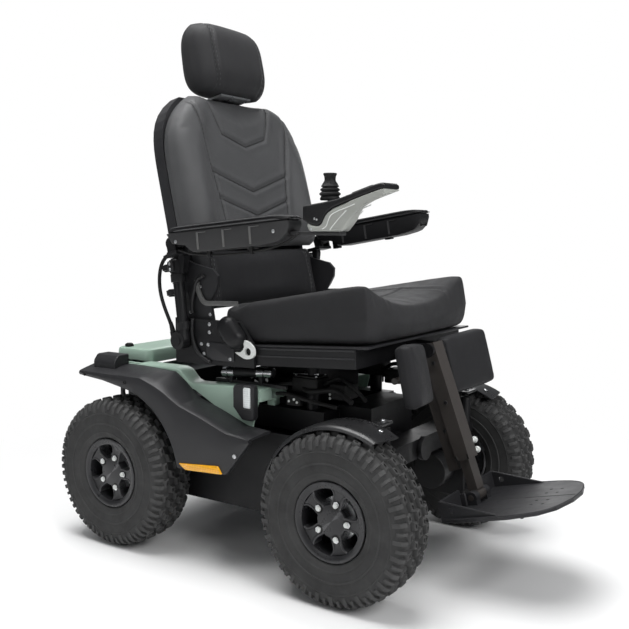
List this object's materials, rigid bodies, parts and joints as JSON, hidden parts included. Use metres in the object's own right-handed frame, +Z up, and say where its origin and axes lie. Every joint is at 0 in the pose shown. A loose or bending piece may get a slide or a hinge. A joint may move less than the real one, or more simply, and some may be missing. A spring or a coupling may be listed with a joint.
{
  "type": "power wheelchair",
  "caption": "All terrain power wheelchair with knobbly driven wheels, rocking front axle, tilting padded seat, reclining back with headrest, flip-up arms, joystick and centre legrest.",
  "frame": {"origin": "on the floor under the middle of the whole chair", "axes": "+X forward, +Y to the sitter's left, +Z up"},
  "size_m": [1.1871, 0.695, 1.2578],
  "materials": {
    "frame_black": "satin black powder coat",
    "tray_black": "matt black coat",
    "battery_case": "moulded case",
    "motor_black": "satin black",
    "steel": "zinc plated",
    "polished_steel": "polished",
    "shroud_green": "pale sage green, satin",
    "panel_black": "satin black moulding",
    "fender_grey": "dark grey satin",
    "lamp_white": "clear white lens",
    "amber": "amber reflector",
    "tyre": "knobbly tread",
    "rim_black": "black cast rim",
    "leather": "soft grained, sewn",
    "arm_black": "textured",
    "pod_grey": "satin grey",
    "pod_black": "satin black",
    "screen": "dark display window",
    "rubber": "soft black",
    "leg_brown": "dark brown-black coat"
  },
  "bodies": {
    "chassis": {"chassis_frame": "frame_black", "battery_tray": "tray_black", "batteries": "battery_case", "controller_box": "battery_case", "rear_motors": "motor_black", "seat_tower": "frame_black", "tilt_shaft": "polished_steel", "top_shroud": "shroud_green", "side_panel_right": "panel_black", "side_panel_left": "panel_black", "headlamp_pods": "panel_black", "headlamp_lenses": "lamp_white", "tail_lamps": "panel_black", "reflectors": "amber", "deck_knobs": "rubber"},
    "front_axle": {"front_beam": "frame_black", "front_motors": "motor_black", "front_fender_right": "fender_grey", "front_fender_left": "fender_grey"},
    "wheel_fr": {"tyre_fr": "tyre", "rim_fr": "rim_black", "hub_fr": "steel"},
    "wheel_fl": {"tyre_fl": "tyre", "rim_fl": "rim_black", "hub_fl": "steel"},
    "wheel_rr": {"tyre_rr": "tyre", "rim_rr": "rim_black", "hub_rr": "steel"},
    "wheel_rl": {"tyre_rl": "tyre", "rim_rl": "rim_black", "hub_rl": "steel"},
    "seat": {"seat_frame": "frame_black", "seat_pan": "panel_black", "seat_cushion": "leather", "recline_covers": "pod_black", "recline_quadrants": "steel"},
    "back": {"back_frame": "frame_black", "back_shell": "panel_black", "back_cushion": "leather", "lumbar_pad": "leather", "arm_brackets": "frame_black", "joystick_cable": "rubber"},
    "headrest": {"headrest_posts": "steel", "headrest_pad": "leather"},
    "arm_right": {"arm_shell_right": "arm_black", "arm_pad_right": "leather", "pod_keel": "pod_grey", "pod_cover": "pod_black", "pod_screen": "screen"},
    "arm_left": {"arm_shell_left": "arm_black", "arm_pad_left": "leather"},
    "gimbal": {"gimbal_ring": "steel"},
    "stick": {"joystick_knob": "rubber", "joystick_boot": "rubber"},
    "power_key": {"power_button": "pod_grey"},
    "mode_key": {"mode_button": "pod_grey"},
    "legrest": {"legrest_column": "leg_brown", "calf_pads": "leather"},
    "leg_extension": {"leg_slider": "leg_brown"},
    "foot": {"footplate": "panel_black"}
  },
  "joints": [
    {"name": "axle_rock", "type": "hinge", "parent": "chassis", "child": "front_axle", "pos_m": [0.20643, 0, 0.2618], "axis": [1, 0, 0], "range_deg": [-5, 5]},
    {"name": "wheel_spin_fr", "type": "hinge", "parent": "front_axle", "child": "wheel_fr", "pos_m": [0.20643, -0.2915, 0.178], "axis": [0, 1, 0], "continuous": true},
    {"name": "wheel_spin_fl", "type": "hinge", "parent": "front_axle", "child": "wheel_fl", "pos_m": [0.20643, 0.2915, 0.178], "axis": [0, 1, 0], "continuous": true},
    {"name": "wheel_spin_rr", "type": "hinge", "parent": "chassis", "child": "wheel_rr", "pos_m": [-0.41557, -0.2915, 0.178], "axis": [0, 1, 0], "continuous": true},
    {"name": "wheel_spin_rl", "type": "hinge", "parent": "chassis", "child": "wheel_rl", "pos_m": [-0.41557, 0.2915, 0.178], "axis": [0, 1, 0], "continuous": true},
    {"name": "seat_tilt", "type": "hinge", "parent": "chassis", "child": "seat", "pos_m": [-0.16257, 0, 0.41], "axis": [0, -1, 0], "range_deg": [0, 12]},
    {"name": "back_recline", "type": "hinge", "parent": "seat", "child": "back", "pos_m": [-0.24457, 0, 0.5], "axis": [0, -1, 0], "range_deg": [0, 20]},
    {"name": "headrest_slide", "type": "slide", "parent": "back", "child": "headrest", "axis": [-0.2164, 0, 0.9763], "range_m": [0, 0.06]},
    {"name": "arm_flip_right", "type": "hinge", "parent": "back", "child": "arm_right", "pos_m": [-0.23231, -0.2928, 0.72191], "axis": [0, -1, 0], "range_deg": [0, 90]},
    {"name": "arm_flip_left", "type": "hinge", "parent": "back", "child": "arm_left", "pos_m": [-0.23231, 0.2928, 0.72191], "axis": [0, -1, 0], "range_deg": [0, 90]},
    {"name": "stick_roll", "type": "hinge", "parent": "arm_right", "child": "gimbal", "pos_m": [0.17743, -0.2928, 0.79058], "axis": [1, 0, 0], "range_deg": [-12, 12], "stiffness_Nm_per_rad": 0.8},
    {"name": "stick_pitch", "type": "hinge", "parent": "gimbal", "child": "stick", "pos_m": [0.17743, -0.2928, 0.79058], "axis": [0, 1, 0], "range_deg": [-12, 12], "stiffness_Nm_per_rad": 0.8},
    {"name": "power_press", "type": "slide", "parent": "arm_right", "child": "power_key", "axis": [0.2941, 0, -0.9558], "range_m": [0, 0.0015], "stiffness_N_per_m": 800},
    {"name": "mode_press", "type": "slide", "parent": "arm_right", "child": "mode_key", "axis": [0.2941, 0, -0.9558], "range_m": [0, 0.0015], "stiffness_N_per_m": 800},
    {"name": "legrest_swing", "type": "hinge", "parent": "seat", "child": "legrest", "pos_m": [0.26143, 0, 0.488], "axis": [0, -1, 0], "range_deg": [0, 50]},
    {"name": "leg_length", "type": "slide", "parent": "legrest", "child": "leg_extension", "axis": [-0.342, 0, 0.9397], "range_m": [0, 0.05]},
    {"name": "footplate_flip", "type": "hinge", "parent": "leg_extension", "child": "foot", "pos_m": [0.3743, 0, 0.1779], "axis": [0, -1, 0], "range_deg": [0, 75]}
  ]
}
